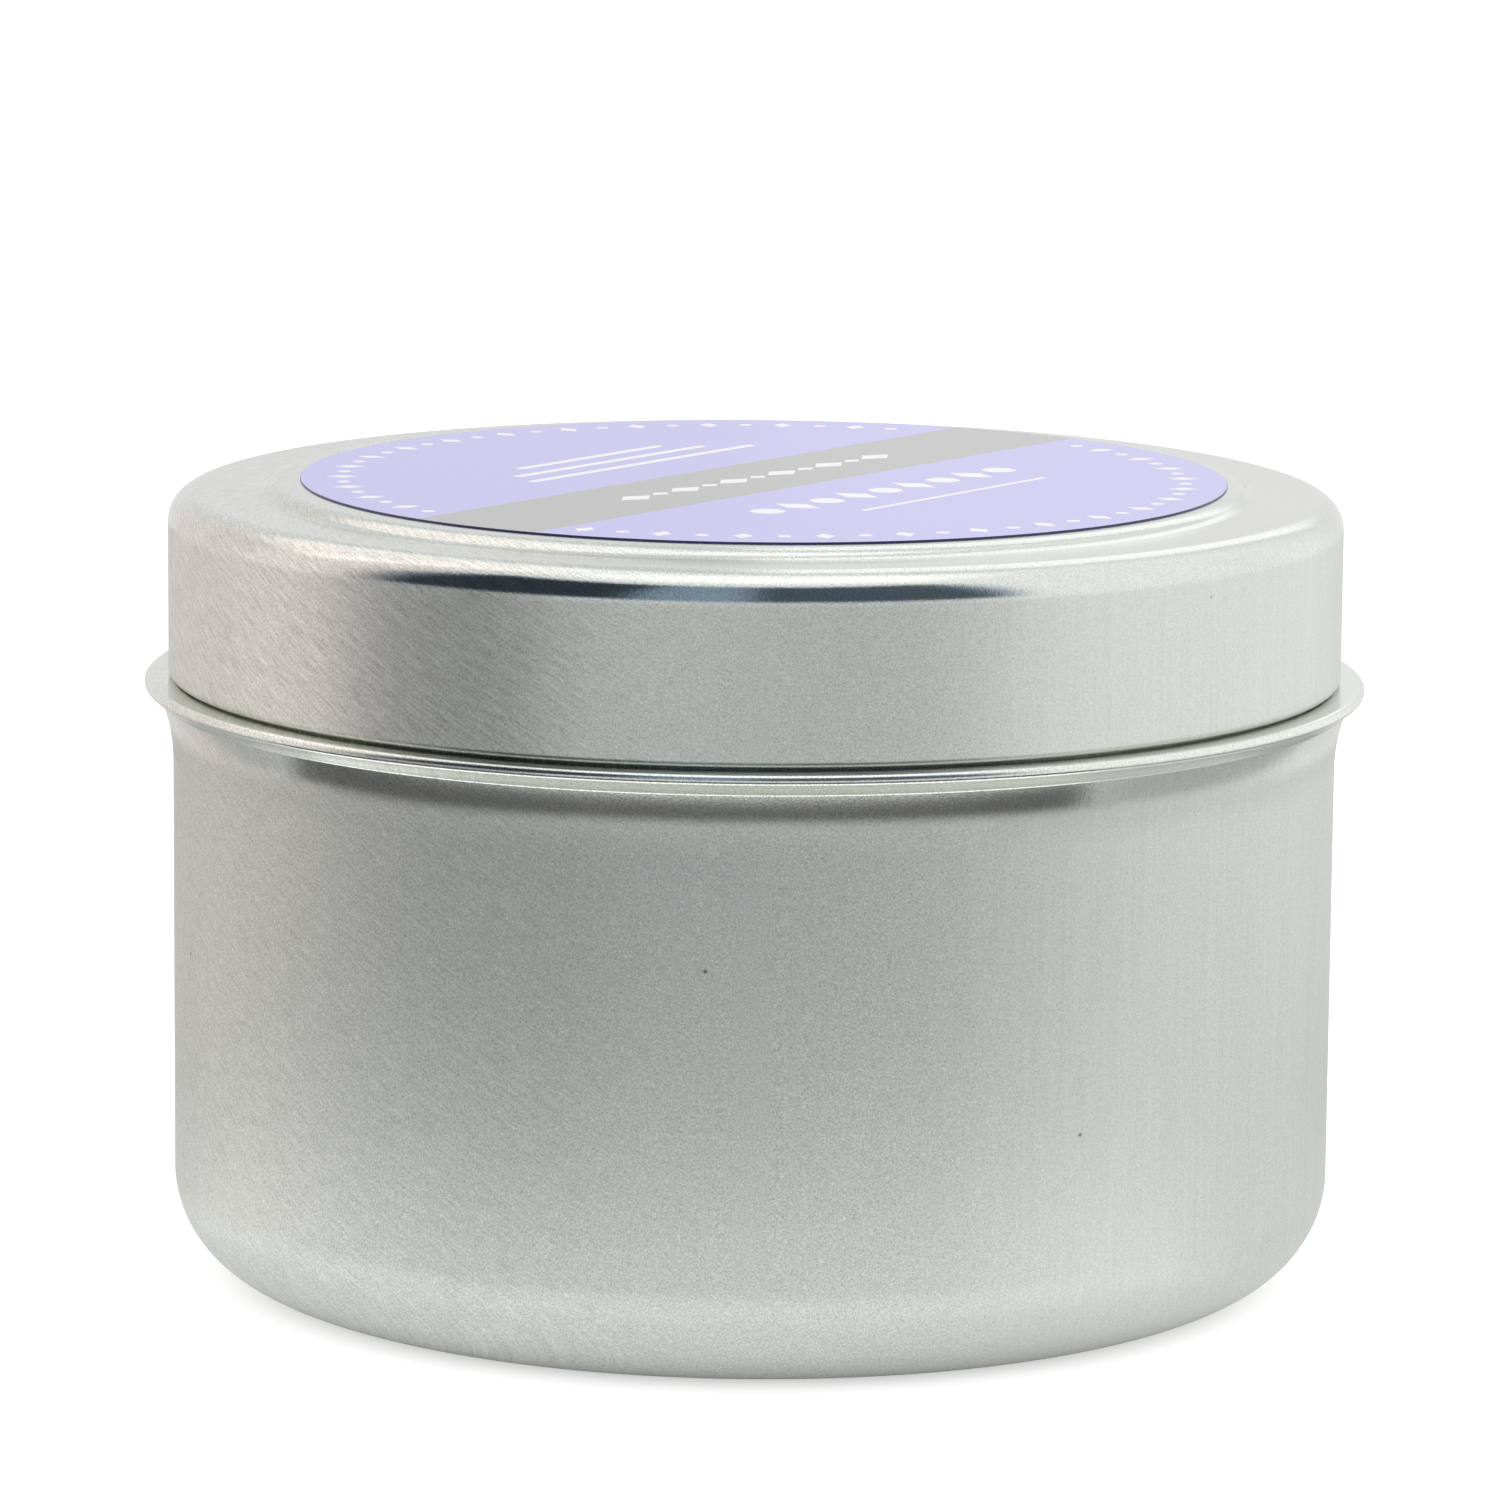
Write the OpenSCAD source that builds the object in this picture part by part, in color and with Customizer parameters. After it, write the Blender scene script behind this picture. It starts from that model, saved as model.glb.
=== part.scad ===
// Round slip-lid candle tin: a seamless drawn can with a stop bead, its lid,
// and a container candle with a tabbed wick. Origin at the centre of the base, +Z up.

/* [Sheet metal] */
// Thickness of the tinplate
sheet = 0.25; // [0.2:0.01:0.3]

/* [Lid] */
// Outside diameter of the lid's skirt
lid_d = 78; // [77:0.5:90]
// Height of the closed tin without its label
closed_h = 53.1; // [50:0.1:70]
// Outside radius of the corner between the lid's top and its skirt
lid_corner = 2; // [1.5:0.1:2.2]
// Radius of the edge that is curled inward at the bottom of the skirt
lid_curl = 0.5; // [0.4:0.05:0.7]
// Radius of the flat raised panel
panel_r = 31.6; // [31:0.1:33.5]
// Width of the riser around the raised panel
riser_run = 1.8; // [0.6:0.1:2.4]
// Height of the riser around the raised panel
riser_h = 0.6; // [0.4:0.05:0.8]

/* [Can] */
// How far the can's wall lies inside the face of the lid's skirt
wall_inset = 0.3; // [0.1:0.05:0.5]
// Outside radius of the corner between the wall and the base
base_corner = 7; // [4:0.5:8]
// Width of the flat ring that the tin stands on
foot_w = 0.9; // [0.5:0.1:1.5]
// Width of the slope between the foot ring and the base panel
recess_run = 1.8; // [1.2:0.1:2.4]
// How far the base panel lies above the foot ring
recess_h = 0.8; // [0.5:0.1:1.2]
// Height of the ledge on top of the stop bead
ledge_z = 40.2; // [38:0.1:42]
// How far the stop bead stands out from the wall
bead_out = 1.9; // [1.9:0.1:2.5]
// Radius of the bead's round nose
bead_r = 0.4; // [0.35:0.05:0.6]
// Radius of the wide hollow flare that leads from the wall to the bead
flare_r = 12; // [8:0.5:14]
// Radius of the tight hollow bend between the flare and the bead's slanting underside
bead_root = 0.3; // [0.2:0.05:0.4]
// Radius of the hollow bend between the ledge and the neck
neck_root = 0.1; // [0.05:0.05:0.2]
// Radius of the rolled rim
rim_r = 0.6; // [0.5:0.05:0.7]
// How far the rim stays under the lid's flat outer ring
rim_gap = 0.8; // [0.7:0.1:3]
// Running clearance between the can's neck and the lid's curl
lid_fit = 0.05; // [0.03:0.01:0.1]

/* [Candle] */
// Height of the wax surface
wax_z = 37.4; // [36:0.1:37.8]
// Diameter of the braided wick
wick_d = 2.5; // [1.5:0.1:3.5]
// Length of wick that stands out of the wax
wick_out = 6.6; // [4:0.1:8]
// Diameter of the stamped wick tab
tab_d = 20; // [12:0.5:30]
// Height of the tab's neck above its disc
tab_neck_h = 6; // [3:0.5:9]
// Wall of the tab's neck
tab_neck_w = 0.4; // [0.25:0.05:0.6]
// Radius of the bend at the foot of the tab's neck
tab_root = 0.5; // [0.3:0.1:1]
// Diameter of the adhesive disc under the tab
sticker_d = 19; // [10:0.5:28]
// Thickness of the adhesive disc
sticker_h = 0.8; // [0.4:0.1:1.2]

/* [Labels] */
// Thickness of the label paper
label_t = 0.1; // [0.06:0.01:0.2]
// Diameter of the label on the lid
lid_label_d = 61.6; // [40:0.2:61.6]
// How far the lid's label sits to the right of centre
lid_label_x = 0.5; // [-0.6:0.1:0.6]
// How far the lid's label sits behind the centre
lid_label_y = 0.6; // [-0.6:0.1:0.6]
// Diameter of the label under the base
base_label_d = 50; // [30:0.5:50]

/* [Hidden] */
$fn = 96;

skirt_r = lid_d / 2;
skirt_z = ledge_z + lid_fit;
ring_z = closed_h - riser_h;
ring_r = skirt_r - lid_corner;

wall_r = skirt_r - wall_inset;
neck_r = skirt_r - lid_curl - lid_fit;
can_h = ring_z - sheet - rim_gap;
rim_c = [neck_r - rim_r, can_h - rim_r];
bead_c = [wall_r + bead_out - bead_r, ledge_z - bead_r];
// The flare ends in this direction from its centre.
flare_end = [-0.936, 0.352];
// The bead's slanting underside faces this way.
under = [0.6, -0.8];
bead_nose_end = bead_c + bead_r * under;
bead_root_x = wall_r + flare_r + (flare_r - bead_root) * flare_end.x;
bead_slant_run = bead_nose_end.x - bead_root_x + bead_root * under.x;
bead_root_end = bead_nose_end - [bead_slant_run, -bead_slant_run * under.x / under.y];
bead_root_c = bead_root_end + bead_root * under;
flare_c = [wall_r + flare_r, bead_root_c.y - (flare_r - bead_root) * flare_end.y];
neck_root_c = [neck_r + neck_root, ledge_z + neck_root];
corner_c = [wall_r - base_corner, base_corner];
foot_r = corner_c.x - foot_w;
recess_r = foot_r - recess_run;
floor_z = recess_h + sheet;

tab_z = floor_z + sticker_h;
disc_z = tab_z + sheet;
wick_r = wick_d / 2;
tab_neck_r = wick_r + tab_neck_w;

// ---- profiles: x is the distance from the tin's axis, y is the height ----

// Outlines that pick a bend's share of the circle: quarters and three quarters.
out_up = [[0, 0], [1, 0], [1, 1], [0, 1]];
out_down = [[0, 0], [1, 0], [1, -1], [0, -1]];
in_down = [[0, 0], [-1, 0], [-1, -1], [0, -1]];
roll = [[0, 0], [1, 0], [1, 1], [-1, 1], [-1, -1], [0, -1]];

// Rectangle between two opposite corners.
module block(low, high) {
    translate(low) square(high - low);
}

// Bent strip of sheet: the part of a ring that lies in the outline sector about its centre.
// face_r is the radius of the bend's outer face.
module bend(centre, face_r, sector) {
    translate(centre) intersection() {
        difference() {
            circle(face_r);
            circle(face_r - sheet);
        }
        polygon(2 * face_r * sector);
    }
}

// A step in the sheet is two equal bends that meet on the line between their centres.
function step_face_r(run, drop) = (run * run + drop * drop) / (4 * drop) + sheet / 2;
function step_upper_c(start, run, drop) = start - [0, step_face_r(run, drop)];
function step_lower_c(start, run, drop) = start + [run, step_face_r(run, drop) - drop - sheet];

// Sheet that steps down by drop over run, from the point start on its upper face.
module s_bend(start, run, drop) {
    face_r = step_face_r(run, drop);
    upper_c = step_upper_c(start, run, drop);
    lower_c = step_lower_c(start, run, drop);
    across = (lower_c - upper_c) / (2 * face_r);
    bend(upper_c, face_r, [[0, 0], across, [0, 1]]);
    bend(lower_c, face_r, [[0, 0], -across, [0, -1]]);
}

module lid_profile() {
    block([0, closed_h - sheet], [panel_r, closed_h]);
    s_bend([panel_r, closed_h], riser_run, riser_h);
    block([panel_r + riser_run, ring_z - sheet], [ring_r, ring_z]);
    bend([ring_r, ring_z - lid_corner], lid_corner, out_up);
    block([skirt_r - sheet, skirt_z + lid_curl], [skirt_r, ring_z - lid_corner]);
    bend([skirt_r - lid_curl, skirt_z + lid_curl], lid_curl, out_down);
}

module can_profile() {
    block([0, recess_h], [recess_r, floor_z]);
    s_bend([recess_r, floor_z], recess_run, recess_h);
    block([foot_r, 0], [corner_c.x, sheet]);
    bend(corner_c, base_corner, out_down);
    block([wall_r - sheet, corner_c.y], [wall_r, flare_c.y]);
    bend(flare_c, flare_r + sheet, [[0, 0], [-1, 0], flare_end]);
    bend(bead_root_c, bead_root + sheet, [[0, 0], flare_end, [-1, 1], -under]);
    polygon([bead_root_end, bead_nose_end, bead_nose_end - sheet * under, bead_root_end - sheet * under]);
    bend(bead_c, bead_r, [[0, 0], under, [1, -1], [1, 1], [0, 1]]);
    block([neck_root_c.x, ledge_z - sheet], [bead_c.x, ledge_z]);
    bend(neck_root_c, neck_root + sheet, in_down);
    block([neck_r - sheet, neck_root_c.y], [neck_r, rim_c.y]);
    bend(rim_c, rim_r, roll);
}

module wick_profile() {
    block([0, tab_z], [wick_r, wax_z + wick_out]);
}

module tab_profile() {
    block([wick_r, tab_z], [tab_d / 2, disc_z]);
    block([wick_r, disc_z], [tab_neck_r, disc_z + tab_neck_h]);
    difference() {
        block([tab_neck_r, disc_z], [tab_neck_r + tab_root, disc_z + tab_root]);
        translate([tab_neck_r + tab_root, disc_z + tab_root]) circle(tab_root);
    }
}

module sticker_profile() {
    block([0, floor_z], [sticker_d / 2, tab_z]);
}

// Everything inside the sheet, from the base panel up to the wax surface.
module fill_profile() {
    block([0, floor_z], [corner_c.x, wax_z]);
    block([corner_c.x, corner_c.y], [wall_r - sheet, flare_c.y]);
    difference() {
        block([corner_c.x, flare_c.y], [wall_r + 1, wax_z]);
        translate(flare_c) circle(flare_r + sheet);
    }
    intersection() {
        block([corner_c.x, sheet], [wall_r, corner_c.y]);
        translate(corner_c) circle(base_corner - sheet);
    }
    block([foot_r, sheet], [corner_c.x, floor_z]);
    slope_fill_profile();
}

// The shallow channel over the slope between the base panel and the foot ring.
module slope_fill_profile() {
    face_r = step_face_r(recess_run, recess_h);
    upper_c = step_upper_c([recess_r, floor_z], recess_run, recess_h);
    lower_c = step_lower_c([recess_r, floor_z], recess_run, recess_h);
    difference() {
        intersection() {
            block([recess_r, sheet], [foot_r, floor_z]);
            polygon([upper_c, lower_c, [upper_c.x, lower_c.y]]);
        }
        translate(upper_c) circle(face_r);
    }
    intersection() {
        block([recess_r, sheet], [foot_r, floor_z]);
        polygon([upper_c, [lower_c.x, upper_c.y], lower_c]);
        translate(lower_c) circle(face_r - sheet);
    }
}

module wax_profile() {
    difference() {
        fill_profile();
        wick_profile();
        tab_profile();
        sticker_profile();
    }
}

// ---- sub-parts ----

module can_body() {
    color("silver") rotate_extrude() can_profile();
}

module wax() {
    color("ivory") rotate_extrude() wax_profile();
}

module wick() {
    color("wheat") rotate_extrude() wick_profile();
}

module wick_tab() {
    color("gainsboro") rotate_extrude() tab_profile();
}

module wick_sticker() {
    color("white") rotate_extrude() sticker_profile();
}

module base_label() {
    color("white") translate([0, 0, recess_h - label_t]) cylinder(h = label_t, d = base_label_d);
}

module lid() {
    color("silver") rotate_extrude() lid_profile();
}

module lid_label() {
    color("lavender")
        translate([lid_label_x, lid_label_y, closed_h]) cylinder(h = label_t, d = lid_label_d);
}

can_body();
wax();
wick();
wick_tab();
wick_sticker();
base_label();
lid();
lid_label();
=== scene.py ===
"""Candle tin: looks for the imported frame.

Lengths are millimetres until a mesh is made, which is in metres."""

import math
import random

import bpy
from mathutils import Matrix, Vector, geometry


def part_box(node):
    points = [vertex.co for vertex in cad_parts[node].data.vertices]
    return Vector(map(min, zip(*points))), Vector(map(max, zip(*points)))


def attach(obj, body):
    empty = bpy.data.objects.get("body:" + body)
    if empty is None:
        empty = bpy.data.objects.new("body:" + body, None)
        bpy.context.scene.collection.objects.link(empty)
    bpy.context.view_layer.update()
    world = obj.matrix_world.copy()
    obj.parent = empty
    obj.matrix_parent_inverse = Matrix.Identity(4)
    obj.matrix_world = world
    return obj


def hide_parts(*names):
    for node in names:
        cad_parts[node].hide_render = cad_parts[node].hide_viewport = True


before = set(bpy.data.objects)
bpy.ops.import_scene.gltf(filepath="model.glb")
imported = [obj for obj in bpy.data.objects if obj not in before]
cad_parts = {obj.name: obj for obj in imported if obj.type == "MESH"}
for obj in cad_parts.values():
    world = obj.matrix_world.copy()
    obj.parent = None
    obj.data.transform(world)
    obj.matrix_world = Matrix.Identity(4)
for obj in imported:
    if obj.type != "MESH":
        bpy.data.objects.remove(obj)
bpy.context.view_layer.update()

MM = 0.001
AROUND = 288  # faces round the tin
SHEET = 0.25  # tinplate thickness
BEAD_OUT = 1.9  # how far the stop bead stands out from the can's wall
BASE_CORNER = 7.0  # outside radius between the wall and the foot ring
FOOT_W = 0.9  # width of the foot ring
SLOPE_RUN = 1.8  # width of the slope between the foot ring and the base panel
FLARE_R = 12.0  # radius of the hollow flare under the bead
LID_FIT = 0.05  # clearance between the lid's edge and the can
SAME = 1e-6  # points nearer than this are one point


def node_box(node):
    """A CAD node's lowest and highest corner in millimetres."""
    low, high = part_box(node)
    return Vector(low) / MM, Vector(high) / MM


can_high = node_box("can_body")[1]
lid_low, lid_high = node_box("lid")
wax_low, wax_high = node_box("wax")
wick_low, wick_high = node_box("wick")
tab_low, tab_high = node_box("wick_tab")
sticker_low, sticker_high = node_box("wick_sticker")
top_label_low, top_label_high = node_box("lid_label")
base_label_low, base_label_high = node_box("base_label")


def new_piece(name, mesh):
    """An object at the origin that shows the mesh."""
    piece = bpy.data.objects.new(name, mesh)
    bpy.context.collection.objects.link(piece)
    return piece


# ---------------------------------------------------------------- outlines and lathes


class Walk:
    """A path in the (r, z) half-plane, as rows of radius, height and heading in degrees."""

    def __init__(self, r, z, heading):
        self.r, self.z, self.heading = r, z, heading
        self.rows = [(r, z, heading)]

    def run(self, length, steps=1):
        """Goes straight on."""
        r, z, a = self.r, self.z, math.radians(self.heading)
        for i in range(1, steps + 1):
            self.r = r + math.cos(a) * length * i / steps
            self.z = z + math.sin(a) * length * i / steps
            self.rows.append((self.r, self.z, self.heading))
        return self

    def bend(self, radius, degrees, steps=None):
        """Follows an arc: positive degrees turn left, negative turn right."""
        side = math.copysign(1, degrees)
        start = math.radians(self.heading)
        centre_r = self.r - math.sin(start) * radius * side
        centre_z = self.z + math.cos(start) * radius * side
        steps = steps or max(3, round(abs(degrees) / 9))
        for i in range(1, steps + 1):
            heading = self.heading + degrees * i / steps
            a = math.radians(heading)
            self.rows.append(
                (centre_r + math.sin(a) * radius * side, centre_z - math.cos(a) * radius * side, heading)
            )
        self.r, self.z, self.heading = self.rows[-1]
        return self

    def corner(self, degrees):
        """Turns on the spot, for a sharp edge."""
        self.heading += degrees
        self.rows.append((self.r, self.z, self.heading))
        return self


def thick(path, thickness):
    """The outline of a sheet whose middle follows the path.

    It goes out along one face, round the edge, and back along the other face."""
    half = thickness / 2
    out = [
        (r - math.sin(math.radians(h)) * half, z + math.cos(math.radians(h)) * half, h)
        for r, z, h in path.rows
    ]
    turned = Walk(*out[-1]).bend(half, -180, 6)
    back = [
        (r + math.sin(math.radians(h)) * half, z - math.cos(math.radians(h)) * half, h + 180)
        for r, z, h in reversed(path.rows)
    ]
    return out + turned.rows[1:-1] + back


def lathe(name, rows, closed=False, around=AROUND, shape=None):
    """Turns an outline, material on its right, into a solid of revolution with exact normals.

    Rows at r = 0 become poles. shape(x, y, z) may move points, and the normals then come from the mesh."""
    verts, rings = [], []
    groups = []  # rows at one place, such as both sides of a sharp corner, share a ring
    for r, z, heading in rows:
        if groups and math.hypot(groups[-1][0] - r, groups[-1][1] - z) < SAME:
            groups[-1][3] = heading
        else:
            groups.append([r, z, heading, heading])
    if closed and math.hypot(groups[0][0] - groups[-1][0], groups[0][1] - groups[-1][1]) < SAME:
        groups[0][2] = groups.pop()[2]
    for r, z, _, _ in groups:
        if r < SAME:
            rings.append([len(verts)])
            verts.append((0.0, 0.0, z))
            continue
        rings.append(list(range(len(verts), len(verts) + around)))
        for i in range(around):
            a = 2 * math.pi * i / around
            verts.append((r * math.cos(a), r * math.sin(a), z))
    faces, normals = [], []
    spans = len(groups) if closed else len(groups) - 1
    for k in range(spans):
        here, there = k, (k + 1) % len(groups)
        low, high = rings[here], rings[there]
        ends = {here: math.radians(groups[here][3]), there: math.radians(groups[there][2])}
        for i in range(around):
            j = (i + 1) % around
            corners = [(here, i), (there, i), (there, j), (here, j)]
            ring = {here: low, there: high}
            face, face_normals = [], []
            for row, at in corners:
                pole = len(ring[row]) == 1
                index = ring[row][0] if pole else ring[row][at]
                if index in face:
                    continue
                face.append(index)
                a = 2 * math.pi * (at if not pole else i + 0.5) / around
                h = ends[row]
                face_normals.append((-math.sin(h) * math.cos(a), -math.sin(h) * math.sin(a), math.cos(h)))
            faces.append(face)
            normals += face_normals
    if shape:
        verts = [shape(*v) for v in verts]
    mesh = bpy.data.meshes.new(name)
    mesh.from_pydata([Vector(v) * MM for v in verts], [], faces)
    mesh.shade_smooth()
    if not shape:
        mesh.normals_split_custom_set(normals)
    mesh.update()
    return new_piece(name, mesh)


def step_down(path, run, drop, steps=10):
    """A step in the sheet, as two equal bends."""
    radius = (run * run + drop * drop) / (4 * drop)
    degrees = math.degrees(2 * math.atan(drop / run))
    return path.bend(radius, -degrees, steps).bend(radius, degrees, steps)


# ---------------------------------------------------------------- node helpers


class Shader:
    """A node tree that is built from the texture end to the surface."""

    def __init__(self, owner):
        """owner is a material or a world; a world has no surface."""
        owner.use_nodes = True
        self.tree = owner.node_tree
        self.surface = self.tree.nodes.get("Principled BSDF")

    def node(self, kind, settings=None, **inputs):
        made = self.tree.nodes.new(kind)
        for key, value in (settings or {}).items():
            setattr(made, key, value)
        for key, value in inputs.items():
            self.feed(made.inputs[key.replace("_", " ")], value)
        return made

    def feed(self, socket, value):
        if isinstance(value, bpy.types.NodeSocket):
            self.tree.links.new(value, socket)
        else:
            socket.default_value = value

    def math(self, operation, *values):
        made = self.tree.nodes.new("ShaderNodeMath")
        made.operation = operation
        for socket, value in zip(made.inputs, values):
            self.feed(socket, value)
        return made.outputs[0]

    def smooth(self, value, start, end, low=0.0, high=1.0):
        """Goes smoothly from low to high as the value goes from start to end."""
        made = self.tree.nodes.new("ShaderNodeMapRange")
        made.interpolation_type = "SMOOTHSTEP"
        for socket, setting in zip(made.inputs, (value, start, end, low, high)):
            self.feed(socket, setting)
        return made.outputs[0]

    def spread(self, value, low, high):
        """Maps a noise value of 0..1 to low..high."""
        made = self.tree.nodes.new("ShaderNodeMapRange")
        made.clamp = False
        for socket, setting in zip(made.inputs, (value, 0.0, 1.0, low, high)):
            self.feed(socket, setting)
        return made.outputs[0]

    def window(self, value, start, end, soft):
        """1 between start and end, falling smoothly to 0 over soft on each side."""
        rise = self.smooth(value, start - soft, start)
        fall = self.smooth(value, end, end + soft, 1.0, 0.0)
        return self.math("MULTIPLY", rise, fall)

    def noise(self, vector, scale, detail=2.0, roughness=0.5, distortion=0.0):
        made = self.node(
            "ShaderNodeTexNoise", Scale=scale, Detail=detail, Roughness=roughness, Distortion=distortion
        )
        self.feed(made.inputs["Vector"], vector)
        return made.outputs["Fac"]

    def combine(self, x, y, z):
        return self.node("ShaderNodeCombineXYZ", X=x, Y=y, Z=z).outputs[0]

    def mix(self, share, a, b):
        made = self.node("ShaderNodeMix", {"data_type": "RGBA"})
        for socket, value in zip((made.inputs[0], made.inputs[6], made.inputs[7]), (share, a, b)):
            self.feed(socket, value)
        return made.outputs[2]

    def bump(self, height, depth):
        """Bump from a height of 0..1 that stands for a depth in metres."""
        return self.node("ShaderNodeBump", Strength=1.0, Distance=depth, Height=height).outputs[0]

    def place(self):
        """Position on the piece in millimetres."""
        where = self.node("ShaderNodeTexCoord").outputs["Object"]
        made = self.node("ShaderNodeVectorMath", {"operation": "SCALE"})
        self.feed(made.inputs[0], where)
        self.feed(made.inputs["Scale"], 1 / MM)
        return made.outputs[0]


def set_surface(shader, **values):
    for key, value in values.items():
        shader.feed(shader.surface.inputs[key.replace("_", " ")], value)


# ---------------------------------------------------------------- materials


def tinplate(name, grey, roughness, burnished=(), rubbed=1.0):
    """Satin tinplate: matt grain with light and dark speckle painted into its colour as the grain's glint,
    draw lines up the right, slanting rubs on the left, dull patches, specks.

    burnished lists the lowest z, the highest z and the soft edge of the bends that are rubbed smooth.
    rubbed is the strength of the slanting rubs."""
    rub_slant = math.radians(30)
    speck_grey, speck_cover = (0.12, 0.12, 0.12, 1.0), 0.75
    bend_gloss, bend_calm = 0.66, 0.4  # how much less rough and less bumpy a burnished bend is
    relief = 0.000009
    material = bpy.data.materials.new(name)
    s = Shader(material)
    place = s.place()
    split = s.node("ShaderNodeSeparateXYZ", Vector=place)
    x, y, z = split.outputs
    radius = s.math("SQRT", s.math("ADD", s.math("MULTIPLY", x, x), s.math("MULTIPLY", y, y)))
    angle = s.math("ARCTAN2", x, s.math("MULTIPLY", y, -1.0))
    across = s.math("MULTIPLY", angle, lid_high.x)
    up = s.math("SUBTRACT", z, radius)
    side = s.math("DIVIDE", x, s.math("MAXIMUM", radius, 1.0))

    grain = s.noise(place, 5.5, 3.0, 0.7)
    draw_lines = s.noise(s.combine(x, y, s.math("MULTIPLY", z, 0.03)), 3.0, 2.0, 0.6)
    rub_sin, rub_cos = math.sin(rub_slant), math.cos(rub_slant)
    rub_u = s.math("ADD", s.math("MULTIPLY", across, rub_sin), s.math("MULTIPLY", up, rub_cos))
    rub_v = s.math("SUBTRACT", s.math("MULTIPLY", across, rub_cos), s.math("MULTIPLY", up, rub_sin))
    rubs = s.noise(s.combine(rub_u, s.math("MULTIPLY", rub_v, 0.09), 0.0), 5.0, 2.0, 0.7)
    patches = s.noise(place, 0.045, 2.0, 0.5, 0.4)

    left = s.smooth(side, 0.0, -0.45)
    right = s.smooth(side, 0.15, 0.6)
    height = s.math("MULTIPLY", grain, s.math("SUBTRACT", 1.0, s.math("MULTIPLY", left, 0.35)))
    height = s.math("ADD", height, s.math("MULTIPLY", s.math("MULTIPLY", rubs, left), 0.9 * rubbed))
    lines_share = s.math("ADD", 0.15, s.math("MULTIPLY", right, 0.5))
    height = s.math("ADD", height, s.math("MULTIPLY", draw_lines, lines_share))

    specks = s.node("ShaderNodeTexVoronoi", Vector=place, Scale=0.085, Randomness=1.0)
    speck = s.smooth(specks.outputs["Distance"], 0.015, 0.008)
    rough = s.math("ADD", roughness, s.spread(patches, -0.05, 0.05))
    rough = s.math("ADD", rough, s.spread(grain, -0.03, 0.03))
    smooth_bends = 0.0
    for low, high, soft in burnished:
        smooth_bends = s.math("MAXIMUM", smooth_bends, s.window(z, low, high, soft))
    rough = s.math("MULTIPLY", rough, s.math("SUBTRACT", 1.0, s.math("MULTIPLY", smooth_bends, bend_gloss)))
    height = s.math("MULTIPLY", height, s.math("SUBTRACT", 1.0, s.math("MULTIPLY", smooth_bends, bend_calm)))
    # painted glint: fine light and dark speckle from the grain is put into the colour, half as strong on the
    # right; the rub hairs and draw lines added to it afterwards are real marks
    painted_glint_fine = s.noise(place, 10.0, 1.0, 0.5)
    painted_glint_and_marks = s.math("ADD", s.spread(grain, -0.25, 0.25), s.spread(painted_glint_fine, -0.42, 0.42))
    painted_glint_and_marks = s.math("MULTIPLY", painted_glint_and_marks, s.math("SUBTRACT", 1.0, s.math("MULTIPLY", right, 0.5)))
    hairs = s.math("MULTIPLY", s.math("MULTIPLY", s.spread(rubs, -0.44, 0.44), left), rubbed)
    lines_tone = s.math("ADD", 0.35, s.math("MULTIPLY", right, 0.6))
    lines = s.math("MULTIPLY", s.spread(draw_lines, -0.07, 0.07), lines_tone)
    painted_glint_and_marks = s.math("ADD", painted_glint_and_marks, s.math("ADD", hairs, lines))
    shade = s.math("MULTIPLY", s.spread(patches, 0.95, 1.04), s.math("ADD", 1.0, painted_glint_and_marks))
    tone = s.node("ShaderNodeVectorMath", {"operation": "SCALE"})
    tone.inputs[0].default_value = grey
    s.feed(tone.inputs["Scale"], shade)
    colour = s.mix(s.math("MULTIPLY", speck, speck_cover), tone.outputs[0], speck_grey)
    set_surface(s, Base_Color=colour, Metallic=1.0, Roughness=rough, Normal=s.bump(height, relief))
    return material


def paper(name, colour, roughness=0.3, lamination=0.0):
    """Printed label film: an even ink with a trace of mottle and a nearly smooth face."""
    uneven = 0.04
    material = bpy.data.materials.new(name)
    s = Shader(material)
    place = s.place()
    mottle = s.noise(place, 1.6, 3.0, 0.6)
    fine = s.noise(place, 9.0, 2.0, 0.5)
    light = tuple(min(1.0, c * (1 + uneven)) for c in colour) + (1.0,)
    dark = tuple(c * (1 - uneven) for c in colour) + (1.0,)
    set_surface(
        s,
        Base_Color=s.mix(mottle, dark, light),
        Roughness=s.math("ADD", roughness, s.spread(fine, -0.04, 0.04)),
        Specular_IOR_Level=0.5,
        Coat_Weight=lamination,
        Coat_Roughness=0.16,
        Normal=s.bump(fine, 0.0000016),
    )
    return material


def candle_wax(name):
    """Poured soy wax: cream, soft light under the surface, faint frosting and shallow ripples."""
    material = bpy.data.materials.new(name)
    s = Shader(material)
    place = s.place()
    frost = s.noise(place, 0.35, 5.0, 0.62, 0.6)
    fine = s.noise(place, 2.4, 3.0, 0.55)
    colour = s.mix(s.smooth(frost, 0.42, 0.68), (0.83, 0.77, 0.63, 1.0), (0.9, 0.86, 0.76, 1.0))
    set_surface(
        s,
        Base_Color=colour,
        Roughness=s.math("ADD", 0.42, s.spread(frost, -0.1, 0.12)),
        Subsurface_Weight=0.6,
        Subsurface_Radius=(1.0, 0.75, 0.45),
        Subsurface_Scale=0.0022,
        IOR=1.44,
        Normal=s.bump(s.math("ADD", frost, s.math("MULTIPLY", fine, 0.25)), 0.00004),
    )
    return material


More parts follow.
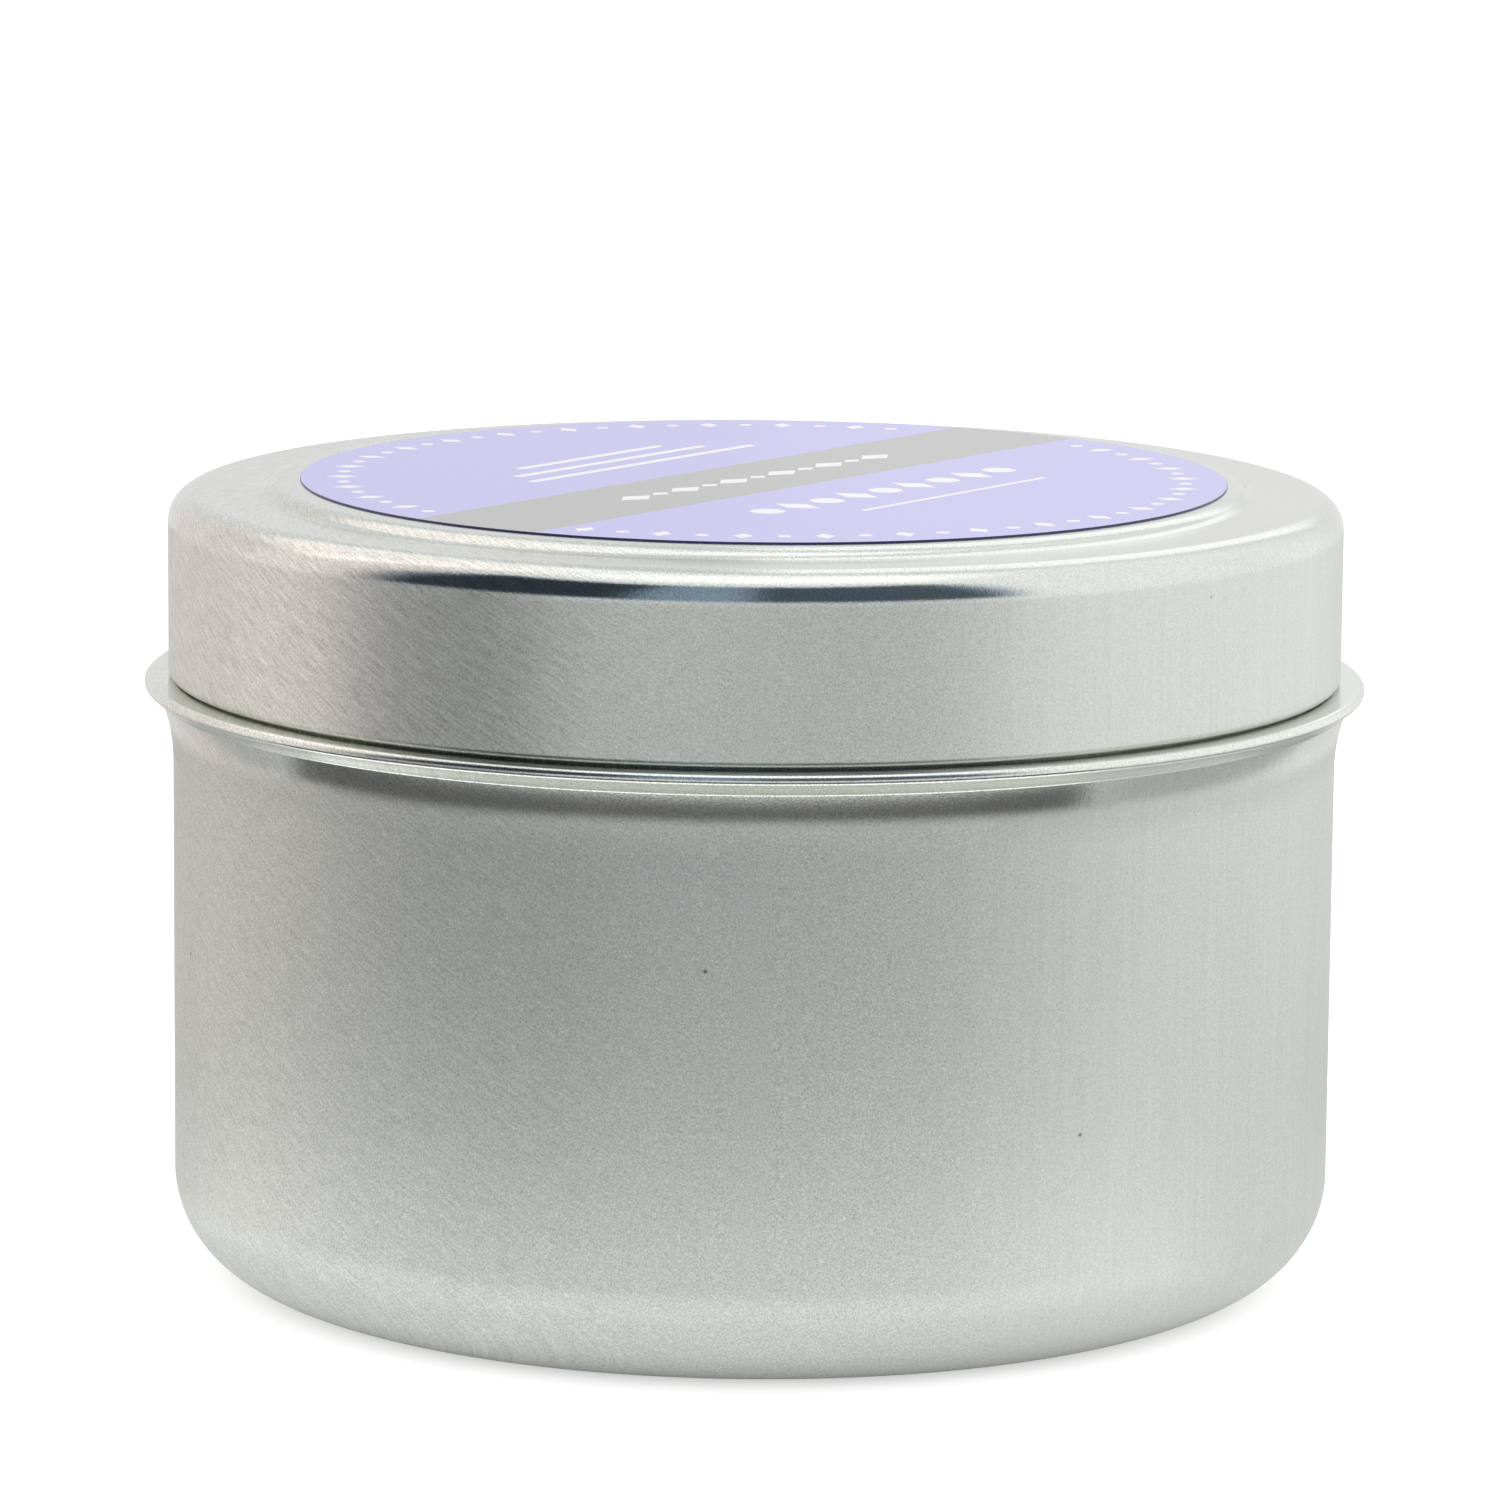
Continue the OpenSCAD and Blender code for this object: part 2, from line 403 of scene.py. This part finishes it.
def cotton(name):
    """Waxed cotton: twisted yarn ridges along each strand, off-white with paler high spots."""
    material = bpy.data.materials.new(name)
    s = Shader(material)
    place = s.place()
    split = s.node("ShaderNodeSeparateXYZ", Vector=place)
    x, y, z = split.outputs
    twist = s.math("ADD", s.math("MULTIPLY", s.math("ADD", x, y), 9.0), s.math("MULTIPLY", z, 7.0))
    yarn = s.math("SINE", s.math("MULTIPLY", twist, 2.2))
    fuzz = s.noise(place, 7.0, 3.0, 0.6)
    height = s.math("ADD", s.spread(yarn, 0.5, 0.75), s.math("MULTIPLY", fuzz, 0.6))
    set_surface(
        s,
        Base_Color=s.mix(fuzz, (0.74, 0.68, 0.56, 1.0), (0.88, 0.84, 0.75, 1.0)),
        Roughness=0.62,
        Sheen_Weight=0.25,
        Subsurface_Weight=0.15,
        Subsurface_Scale=0.0008,
        Normal=s.bump(height, 0.00005),
    )
    return material


def foam(name):
    """White adhesive foam: fine closed cells and a slight yellowing."""
    material = bpy.data.materials.new(name)
    s = Shader(material)
    place = s.place()
    cells = s.node("ShaderNodeTexVoronoi", Vector=place, Scale=5.0).outputs["Distance"]
    patches = s.noise(place, 0.3, 2.0)
    set_surface(
        s,
        Base_Color=s.mix(patches, (0.86, 0.85, 0.8, 1.0), (0.92, 0.92, 0.89, 1.0)),
        Roughness=0.75,
        Normal=s.bump(cells, 0.00003),
    )
    return material


# ---------------------------------------------------------------- sheet-metal pieces


def lid_path():
    """The middle of the lid's sheet, from its centre to the curled edge of its skirt."""
    panel_r, riser_run, riser_h, corner, curl = 31.6, 1.8, 0.6, 2.0, 0.5
    half = SHEET / 2
    path = Walk(0, lid_high.z - half, 0)
    path.run(panel_r, 12)
    step_down(path, riser_run, riser_h)
    path.run(lid_high.x - corner - path.r)
    path.bend(corner - half, -90, 18)
    path.run(path.z - lid_low.z - curl, 4)
    return path.bend(curl - half, -90, 10)


def can_path():
    """The middle of the can's sheet, from the centre of its base to the end of its rolled rim."""
    recess_h, bead_r, bead_root, neck_root, rim_r = 0.8, 0.4, 0.3, 0.1, 0.6
    flare, under = math.acos(0.936), math.acos(0.6)
    neck_r = 38.45
    half = SHEET / 2
    wall_r = can_high.x - BEAD_OUT
    ledge_z = lid_low.z - LID_FIT
    foot_r = wall_r - BASE_CORNER - FOOT_W
    path = Walk(0, recess_h + half, 0)
    path.run(foot_r - SLOPE_RUN, 10)
    step_down(path, SLOPE_RUN, recess_h)
    path.run(FOOT_W)
    path.bend(BASE_CORNER - half, 90, 24)
    nose_r = can_high.x - bead_r + bead_r * math.cos(under)
    nose_z = ledge_z - bead_r - bead_r * math.sin(under)
    root_r = wall_r + FLARE_R - (FLARE_R - bead_root) * math.cos(flare)
    slant_run = nose_r - root_r + bead_root * math.cos(under)
    root_z = nose_z - slant_run / math.tan(under) - bead_root * math.sin(under)
    path.run(root_z - (FLARE_R - bead_root) * math.sin(flare) - path.z, 8)
    path.bend(FLARE_R + half, -math.degrees(flare), 16)
    path.bend(bead_root + half, math.degrees(flare - under), 10)
    path.run(slant_run / math.sin(under))
    path.bend(bead_r - half, 90 + math.degrees(under), 24)
    path.run(path.r - neck_r - neck_root)
    path.bend(neck_root + half, -90, 6)
    path.run(can_high.z - rim_r - path.z, 3)
    return path.bend(rim_r - half, 270, 30)


def make_can():
    piece = lathe("can_shell", thick(can_path(), SHEET))
    bead = (37.6, 41.0, 1.6)
    finish = tinplate("can tinplate", (0.732, 0.756, 0.707), 0.58, burnished=(bead,), rubbed=0.5)
    piece.data.materials.append(finish)
    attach(piece, "can")
    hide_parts("can_body")


def make_lid():
    piece = lathe("lid_pressing", thick(lid_path(), SHEET))
    corner_and_top = (50.9, 54.0, 0.6)
    finish = tinplate("lid tinplate", (0.662, 0.68, 0.642), 0.34, burnished=(corner_and_top,))
    piece.data.materials.append(finish)
    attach(piece, "lid")
    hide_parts("lid")


# ---------------------------------------------------------------- candle


def make_wax():
    """The poured candle: creeps up the can and the wick, and dips a little round the wick."""
    film = 0.01  # keeps the wax clear of the sheet
    bore, wall, level, floor = 1.0, wax_high.x - film, wax_high.z, sticker_low.z
    flare_r = FLARE_R + SHEET + film
    # the flare's slope where the wax surface meets it
    flare = math.degrees(math.acos((flare_r + can_high.x - BEAD_OUT - SHEET - film - wall) / flare_r))
    creep = 0.35
    path = Walk(bore, level, 0)
    path.run(wall - bore, 90)
    path.corner(-90 - flare)
    path.bend(flare_r, flare, 6)
    path.run(path.z - wax_low.z - (BASE_CORNER - SHEET), 4)
    path.bend(BASE_CORNER - SHEET, -90, 12)
    path.run(FOOT_W)
    step_down(path, SLOPE_RUN, floor - wax_low.z, 8)
    path.run(path.r - sticker_high.x)
    path.corner(-90).run(sticker_high.z - floor)
    path.corner(90).corner(180).run(tab_high.x - sticker_high.x)
    disc_top = tab_low.z + SHEET
    path.corner(90).run(disc_top - tab_low.z)
    neck = 1.65
    path.corner(90).run(tab_high.x - neck, 4)
    path.corner(-90).run(tab_high.z - disc_top)
    path.corner(90).run(neck - bore)
    path.corner(-90).run(level - path.z)

    def settle(x, y, z):
        r = math.hypot(x, y)
        if z < level - 1e-4:
            return x, y, z
        at_wall = creep * math.exp(-(wall - r) / 0.45)
        at_wick = 0.55 * math.exp(-(r - bore) / 0.5)
        dip = -0.22 * math.exp(-((r / 9.0) ** 2))
        ripple = 0.035 * math.sin(x * 0.21 + 0.6) * math.cos(y * 0.17 - 0.3)
        ripple += 0.018 * math.sin(0.35 * y - 0.25 * x)
        return x, y, z - 0.3 + at_wall + at_wick + dip + ripple

    piece = lathe("wax_fill", path.rows, closed=True, around=192, shape=settle)
    piece.data.materials.append(candle_wax("soy wax"))
    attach(piece, "can")
    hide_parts("wax")


def tube(points, radius, sides=10):
    """Vertices and faces of a closed tube along points."""
    verts, faces = [], []
    for i, point in enumerate(points):
        before, after = points[max(i - 1, 0)], points[min(i + 1, len(points) - 1)]
        along = (after - before).normalized()
        out = Vector((point.x, point.y, 0)).normalized() if point.xy.length > SAME else Vector((1, 0, 0))
        other = along.cross(out).normalized()
        out = other.cross(along)
        for k in range(sides):
            a = 2 * math.pi * k / sides
            verts.append(point + (out * math.cos(a) + other * math.sin(a)) * radius)
    for i in range(len(points) - 1):
        for k in range(sides):
            n = (k + 1) % sides
            faces.append((i * sides + k, i * sides + n, (i + 1) * sides + n, (i + 1) * sides + k))
    faces.append(tuple(reversed(range(sides))))
    faces.append(tuple(range((len(points) - 1) * sides, len(points) * sides)))
    return verts, faces


def make_wick():
    """A round braid of eight strands over a core, cut a little unevenly and leaning slightly."""
    lay, strands, weave_r, over, strand_r, core_r = 7.0, 4, 0.74, 0.11, 0.37, 0.5
    bottom, top, level = wick_low.z, wick_high.z, wax_high.z
    rows = 130
    chance = random.Random(5)

    def lean(p):
        above = max(0.0, p.z - level) / (top - level)
        return Vector((p.x + 0.5 * above * above, p.y - 0.2 * above * above, p.z))

    verts, faces = [], []

    def add(points, radius, sides):
        tube_verts, tube_faces = tube(points, radius, sides)
        first = len(verts)
        verts.extend(lean(v) for v in tube_verts)
        faces.extend(tuple(first + i for i in face) for face in tube_faces)

    for hand in (1, -1):
        for k in range(strands):
            start = 2 * math.pi * k / strands + (0 if hand > 0 else math.pi / strands)
            end = top - chance.uniform(0.0, 0.3)
            points = []
            for i in range(rows + 1):
                z = bottom + (end - bottom) * i / rows
                turn = 2 * math.pi * (z - bottom) / lay
                r = weave_r + hand * over * math.cos(strands * (turn - math.pi / 8))
                a = start + hand * turn
                points.append(Vector((r * math.cos(a), r * math.sin(a), z)))
            add(points, strand_r, 10)
    add([Vector((0, 0, bottom + (top - 0.25 - bottom) * i / 30)) for i in range(31)], core_r, 12)
    mesh = bpy.data.meshes.new("wick_braid")
    mesh.from_pydata([v * MM for v in verts], [], faces)
    mesh.shade_smooth()
    piece = new_piece("wick_braid", mesh)
    piece.data.materials.append(cotton("waxed cotton"))
    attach(piece, "can")
    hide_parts("wick")


def make_tab():
    """The stamped wick tab: a flat disc and a drawn neck that is crimped on the wick."""
    neck_r, root = 1.25, 0.5
    half = SHEET / 2
    path = Walk(neck_r + half, tab_high.z, -90)
    path.run(tab_high.z - tab_low.z - SHEET - root, 12)
    path.bend(root + half, 90, 8)
    path.run(tab_high.x - path.r, 6)
    crimp_z = tab_low.z + 0.65 * (tab_high.z - tab_low.z)

    def crimp(x, y, z):
        r = math.hypot(x, y)
        if r > neck_r + SHEET + 0.3:
            return x, y, z
        squeeze = 0.16 * math.exp(-(((z - crimp_z) / 0.8) ** 2))
        return x * (1 - squeeze), y * (1 + squeeze * 0.6), z

    rows = thick(path, SHEET)
    rows += Walk(*rows[-1]).bend(half, -180, 6).rows[1:]
    piece = lathe("wick_tab_stamping", rows, closed=True, around=96, shape=crimp)
    piece.data.materials.append(tinplate("tab steel", (0.62, 0.62, 0.6), 0.28, rubbed=0.3))
    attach(piece, "can")
    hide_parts("wick_tab")


def make_sticker():
    """The adhesive foam disc, with slightly rounded edges."""
    edge = 0.15
    r, low, high = sticker_high.x, sticker_low.z, sticker_high.z
    path = Walk(0, high, 0)
    path.run(r - edge, 4).bend(edge, -90, 5).run(high - low - 2 * edge).bend(edge, -90, 5).run(r - edge, 4)
    piece = lathe("wick_sticker_foam", path.rows, around=128)
    piece.data.materials.append(foam("adhesive foam"))
    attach(piece, "can")
    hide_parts("wick_sticker")


# ---------------------------------------------------------------- printed labels


def circle(centre, radius, count):
    turns = [2 * math.pi * i / count for i in range(count)]
    return [Vector((centre[0] + radius * math.cos(a), centre[1] + radius * math.sin(a))) for a in turns]


def bar(centre, direction, length, width, steps=6):
    """A straight bar with round ends."""
    along = Vector(direction).normalized()
    side = Vector((-along.y, along.x))
    half, r = length / 2 - width / 2, width / 2
    points = []
    for end in (1, -1):
        for i in range(steps + 1):
            a = math.pi * (i / steps - 0.5)
            points.append(Vector(centre) + (along * (half + r * math.cos(a)) + side * r * math.sin(a)) * end)
    return points


def lozenge(centre, direction, length, width):
    along = Vector(direction).normalized()
    side = Vector((-along.y, along.x))
    to_end, to_side = along * length / 2, side * width / 2
    return [Vector(centre) + v for v in (to_end, to_side, -to_end, -to_side)]


def ring_sector(centre, inner, outer, start, end, steps):
    """A piece of a ring between two angles in radians."""
    out = []
    for radius, order in ((outer, range(steps + 1)), (inner, range(steps, -1, -1))):
        for i in order:
            a = start + (end - start) * i / steps
            out.append(Vector(centre) + Vector((math.cos(a), math.sin(a))) * radius)
    return out


def label_mesh(name, radius, thickness, inks, marks, edge_shade_ink=None):
    """A disc of film at z = 0..thickness whose top face is cut along its print.

    marks is a list of (ink number, outline), each outline counter-clockwise. A later mark lies over an
    earlier one, and ink 0 is the ground. The edge takes the given edge ink if there is one (a painted shade
    for the film's cut edge), or else the ink that meets it."""
    rim = 0.03
    outlines = [(0, circle((0, 0), radius - rim, 360))] + marks
    points, faces = [], []
    for _, outline in outlines:
        first = len(points)
        points += outline
        faces.append(list(range(first, len(points))))
    cut = geometry.delaunay_2d_cdt(points, [], faces, 1, 1e-5)
    verts, tris, owners = cut[0], cut[2], cut[5]
    mesh = bpy.data.meshes.new(name)
    kept = [(tri, max(own)) for tri, own in zip(tris, owners) if 0 in own]
    used = sorted({i for tri, _ in kept for i in tri})
    index = {old: new for new, old in enumerate(used)}
    all_verts = [(verts[i].x, verts[i].y, thickness) for i in used]
    all_faces = [tuple(index[i] for i in tri) for tri, _ in kept]
    ink_of = [outlines[own][0] for _, own in kept]
    flipped = []
    for face in all_faces:
        a, b, c = (Vector(all_verts[i]) for i in face)
        flipped.append(face if (b - a).cross(c - a).z > 0 else tuple(reversed(face)))
    all_faces = flipped
    directed = {}
    for n, face in enumerate(all_faces):
        for a, b in zip(face, face[1:] + face[:1]):
            directed[(a, b)] = n
    border = {a: (b, n) for (a, b), n in directed.items() if (b, a) not in directed}
    start = next(iter(border))
    loop, inks_on_edge = [start], []
    while True:
        following, owner = border[loop[-1]]
        inks_on_edge.append(ink_of[owner])
        if following == start:
            break
        loop.append(following)
    rings = [loop]
    for r, z in ((radius, thickness - rim), (radius, 0.0)):
        first = len(all_verts)
        for i in loop:
            x, y = all_verts[i][:2]
            scale = r / math.hypot(x, y)
            all_verts.append((x * scale, y * scale, z))
        rings.append(list(range(first, first + len(loop))))
    for upper, lower in zip(rings, rings[1:]):
        for k in range(len(loop)):
            n = (k + 1) % len(loop)
            all_faces.append((upper[n], upper[k], lower[k], lower[n]))
            ink_of.append(edge_shade_ink if edge_shade_ink is not None else inks_on_edge[k])
    all_faces.append(tuple(reversed(rings[-1])))
    ink_of.append(0)
    mesh.from_pydata([Vector(v) * MM for v in all_verts], [], all_faces)
    for ink in inks:
        mesh.materials.append(ink)
    mesh.polygons.foreach_set("material_index", ink_of)
    mesh.shade_flat()
    mesh.update()
    return new_piece(name, mesh)


def place_mesh(piece, matrix):
    """Moves the mesh itself, so that the object stays at the origin."""
    piece.data.transform(matrix)
    piece.data.update()


def make_top_label():
    """The lid's label: a violet ground, a slanting grey band, and plain dots, lozenges and bars."""
    centre = (top_label_low + top_label_high) / 2
    radius = (top_label_high.x - top_label_low.x) / 2
    thickness = top_label_high.z - top_label_low.z
    slant = math.radians(54)
    along = Vector((math.cos(slant), math.sin(slant)))
    normal = Vector((math.sin(slant), -math.cos(slant)))
    band, ornament = 1, 2
    marks = []

    def at(run, off):
        return along * run + normal * off

    reach = radius + 2
    band_low, band_high = -5.3, 4.3
    corners = ((-reach, band_low), (-reach, band_high), (reach, band_high), (reach, band_low))
    marks.append((band, [at(run, off) for run, off in corners]))
    for k in range(11):
        size = 3.1 if k % 2 == 0 else 1.7
        marks.append((ornament, lozenge(at(-13.5 + 2.7 * k, -0.5), along, size, size * 0.66)))
    for k in range(9):
        spot = at(-13.2 + 3.3 * k, 9.9)
        marks.append((ornament, lozenge(spot, normal, 3.6, 2.2) if k % 2 else circle(spot, 1.15, 28)))
    marks.append((ornament, bar(at(1.5, 14.4), along, 21, 0.45)))
    for off, run, length in ((-10.6, 0.8, 25), (-12.9, 0.2, 21), (-15.2, 0.9, 16)):
        marks.append((ornament, bar(at(run, off), along, length, 0.75)))
    dashes, dash_r = 68, 28.0
    for k in range(dashes):
        a = 2 * math.pi * (k + 0.5) / dashes
        radial = Vector((math.cos(a), math.sin(a)))
        spot = radial * dash_r
        if band_low - 1 < spot.dot(normal) < band_high + 1:
            continue
        if k % 2:
            marks.append((ornament, circle(spot, 0.45, 16)))
        else:
            marks.append((ornament, lozenge(spot, radial, 2.1, 1.3)))
    inks = [
        paper("label violet ink", (0.27, 0.235, 0.78), lamination=0.9),
        paper("label grey ink", (0.17, 0.165, 0.165), lamination=0.9),
        paper("label white", (0.86, 0.86, 0.88), lamination=0.9),
        # painted shade: the film's cut edge is given a near-black violet so that it reads as a shaded edge
        paper("label edge painted shade", (0.03, 0.025, 0.09)),
    ]
    piece = label_mesh("lid_label_print", radius, thickness, inks, marks, edge_shade_ink=3)
    place_mesh(piece, Matrix.Translation(Vector((centre.x, centre.y, top_label_low.z)) * MM))
    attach(piece, "lid")
    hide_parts("lid_label")


def make_base_label():
    """The label in the base recess: white, with a thin ring and blank bars."""
    radius = (base_label_high.x - base_label_low.x) / 2
    thickness = base_label_high.z - base_label_low.z
    print_grey = 1
    marks = []
    ring_r, ring_w, sectors = radius - 2.2, 0.45, 4
    gap = math.radians(3)
    for k in range(sectors):
        start = 2 * math.pi * k / sectors + gap
        end = start + 2 * math.pi / sectors - 2 * gap
        marks.append((print_grey, ring_sector((0, 0), ring_r - ring_w, ring_r, start, end, 40)))
    for k, length in enumerate((18, 28, 32, 30, 24)):
        marks.append((print_grey, bar((0, 8 - 4 * k), (1, 0), length, 0.9)))
    inks = [
        paper("base label white", (0.88, 0.88, 0.87), roughness=0.5),
        paper("base label grey ink", (0.25, 0.25, 0.26), roughness=0.5),
    ]
    piece = label_mesh("base_label_print", radius, thickness, inks, marks)
    place_mesh(piece, Matrix.Rotation(math.pi, 4, "X"))
    place_mesh(piece, Matrix.Translation(Vector((0, 0, base_label_high.z)) * MM))
    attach(piece, "can")
    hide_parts("base_label")


# ---------------------------------------------------------------- stage, light and camera


def make_disc(name, radius, material, hole=0.0, count=96):
    """A flat disc at z = 0, with a round hole if it has a radius."""
    rings = [circle((0, 0), radius, count)] + ([circle((0, 0), hole, count)] if hole else [])
    verts = [(v.x * MM, v.y * MM, 0.0) for ring in rings for v in ring]
    round_it = [(i, (i + 1) % count) for i in range(count)]
    faces = [(i, n, count + n, count + i) for i, n in round_it] if hole else [tuple(range(count))]
    mesh = bpy.data.meshes.new(name)
    mesh.from_pydata(verts, [], faces)
    mesh.materials.append(material)
    piece = new_piece(name, mesh)
    return piece


def make_floor():
    """A plain pale floor."""
    material = bpy.data.materials.new("pale table")
    s = Shader(material)
    set_surface(
        s,
        Base_Color=(0.8, 0.8, 0.8, 1.0),
        Roughness=0.9,
        Specular_IOR_Level=0.1,
        Emission_Color=(1.0, 1.0, 1.0, 1.0),
        Emission_Strength=0.5,
    )
    make_disc("floor", 4500.0, material).visible_glossy = False


def make_bounce_card():
    """A round card under the tin, seen only in reflections: light near the tin, dark further out."""
    material = bpy.data.materials.new("bounce card")
    s = Shader(material)
    split = s.node("ShaderNodeSeparateXYZ", Vector=s.place())
    x, y, _ = split.outputs
    radius = s.math("SQRT", s.math("ADD", s.math("MULTIPLY", x, x), s.math("MULTIPLY", y, y)))
    azimuth = s.math("MULTIPLY", s.math("ARCTAN2", x, s.math("MULTIPLY", y, -1.0)), 180 / math.pi)
    front = s.window(azimuth, -86.0, 55.0, 9.0)
    far = s.math("MULTIPLY", s.math("MAXIMUM", front, 0.45), s.smooth(radius, 60.0, 76.0))
    lift = s.math("MULTIPLY", front, s.smooth(radius, 40.0, 60.0, 0.0, 0.9))
    near = s.math("ADD", s.smooth(radius, 31.0, 39.0, 0.06, 0.85), lift)
    glow = s.math("MULTIPLY", near, s.math("SUBTRACT", 1.0, s.math("MULTIPLY", far, 0.93)))
    set_surface(
        s,
        Base_Color=(0.0, 0.0, 0.0, 1.0),
        Roughness=1.0,
        Specular_IOR_Level=0.0,
        Emission_Color=(1.0, 1.0, 1.0, 1.0),
        Emission_Strength=glow,
    )
    card = make_disc("bounce_card", 110.0, material, hole=30.0)
    card.visible_camera = card.visible_diffuse = False
    card.visible_transmission = card.visible_shadow = False


def make_light_tent():
    """A white tent, brighter on the right and overhead, with a dim bluish opening on the front's side.

    Only reflections show its pattern. The view's background and the diffuse light are even."""
    white, blush_tint, opening_tint = (1.0, 1.0, 1.0, 1.0), (1.06, 0.985, 0.965, 1.0), (0.72, 0.96, 1.25, 1.0)
    # first and last azimuth and their soft edge, lowest and highest elevation, extra light
    lamps = ((-160, -112, 14, 38, 62, 0.4), (160, 190, 8, 22, 48, 0.45))
    diffuse_light = 1.15
    world = bpy.data.worlds.new("light tent")
    bpy.context.scene.world = world
    s = Shader(world)
    background = s.tree.nodes["Background"]
    direction = s.node("ShaderNodeSeparateXYZ", Vector=s.node("ShaderNodeTexCoord").outputs["Generated"])
    x, y, z = direction.outputs
    # azimuth 0 is towards the front, -y, and grows towards +x
    azimuth = s.math("MULTIPLY", s.math("ARCTAN2", x, s.math("MULTIPLY", y, -1.0)), 180 / math.pi)
    elevation = s.math("MULTIPLY", s.math("ARCSINE", z), 180 / math.pi)

    tent = s.math("ADD", 0.84, s.math("MULTIPLY", s.window(azimuth, -112.0, -98.0, 12.0), 0.14))
    tent = s.math("ADD", tent, s.smooth(azimuth, 30.0, 62.0, 0.0, 0.3))
    tent = s.math("SUBTRACT", tent, s.smooth(azimuth, 130.0, 165.0, 0.0, 0.25))
    tent = s.math("SUBTRACT", tent, s.math("MULTIPLY", s.window(azimuth, -78.0, -46.0, 10.0), 0.4))
    tent = s.math("MULTIPLY", tent, s.smooth(elevation, -36.0, -4.0, 0.6, 1.0))
    high = s.smooth(elevation, 20.0, 60.0)
    tent = s.math("MAXIMUM", tent, s.math("MULTIPLY", high, 0.95))
    tent = s.math("ADD", tent, s.smooth(elevation, 60.0, 80.0, 0.0, 0.6))
    for az_low, az_high, az_soft, el_low, el_high, extra in lamps:
        rows = s.window(elevation, el_low, el_high, 10.0)
        patch = s.math("MULTIPLY", s.window(azimuth, az_low, az_high, az_soft), rows)
        tent = s.math("ADD", tent, s.math("MULTIPLY", patch, extra))
    opening = s.math("MULTIPLY", s.window(azimuth, -70.0, 44.0, 13.0), s.window(elevation, 7.0, 54.0, 8.0))
    stand = s.window(azimuth, -20.0, -4.0, 7.0)
    opening_light = s.smooth(azimuth, -40.0, 20.0, 0.05, 0.12)
    opening_light = s.math("ADD", opening_light, s.math("MULTIPLY", stand, 0.3))
    below = s.math("MULTIPLY", s.window(azimuth, -122.0, 76.0, 18.0), s.smooth(elevation, -22.0, -33.0))
    tent = s.math("MULTIPLY", tent, s.math("SUBTRACT", 1.0, s.math("MULTIPLY", below, 0.97)))
    strength = s.math(
        "ADD",
        s.math("MULTIPLY", tent, s.math("SUBTRACT", 1.0, opening)),
        s.math("MULTIPLY", opening_light, opening),
    )
    rays = s.node("ShaderNodeLightPath")
    direct, diffuse = rays.outputs["Is Camera Ray"], rays.outputs["Is Diffuse Ray"]
    even = s.math("MAXIMUM", direct, s.math("MULTIPLY", diffuse, diffuse_light))
    seen = s.math("MAXIMUM", direct, diffuse)
    patterned = s.math("SUBTRACT", 1.0, seen)
    shown = s.math("ADD", even, s.math("MULTIPLY", patterned, strength))
    blush = s.math("MULTIPLY", s.window(azimuth, -150.0, -84.0, 14.0), s.window(elevation, -40.0, 60.0, 10.0))
    tint = s.mix(s.math("MULTIPLY", blush, patterned), white, blush_tint)
    tint = s.mix(s.math("MULTIPLY", opening, patterned), tint, opening_tint)
    s.feed(background.inputs["Color"], tint)
    s.feed(background.inputs["Strength"], shown)


def make_camera():
    """The photograph's view: a long lens from the front and a little above, rolled by half a degree."""
    distance, height, pitch, yaw, roll, lens = 497.3, 119.2, 9.62, -0.03, 0.5, 181.1
    data = bpy.data.cameras.new("camera")
    data.lens = lens
    data.sensor_width = 36.0
    data.clip_start, data.clip_end = 0.02, 20.0
    camera = bpy.data.objects.new("camera", data)
    bpy.context.collection.objects.link(camera)
    tilt, pan, turn = math.radians(pitch), math.radians(yaw), math.radians(roll)
    forward = Vector((math.sin(pan) * math.cos(tilt), math.cos(pan) * math.cos(tilt), -math.sin(tilt)))
    right = Vector((math.cos(pan), -math.sin(pan), 0.0))
    up = right.cross(forward)
    rolled_right = right * math.cos(turn) + up * math.sin(turn)
    rolled_up = up * math.cos(turn) - right * math.sin(turn)
    basis = Matrix((rolled_right, rolled_up, -forward)).transposed()
    camera.matrix_world = Matrix.Translation(Vector((0.0, -distance, height)) * MM) @ basis.to_4x4()
    bpy.context.scene.camera = camera


bpy.context.scene.view_settings.view_transform = "Standard"
make_camera()
make_floor()
make_bounce_card()
make_light_tent()
make_can()
make_lid()
make_wax()
make_wick()
make_tab()
make_sticker()
make_top_label()
make_base_label()
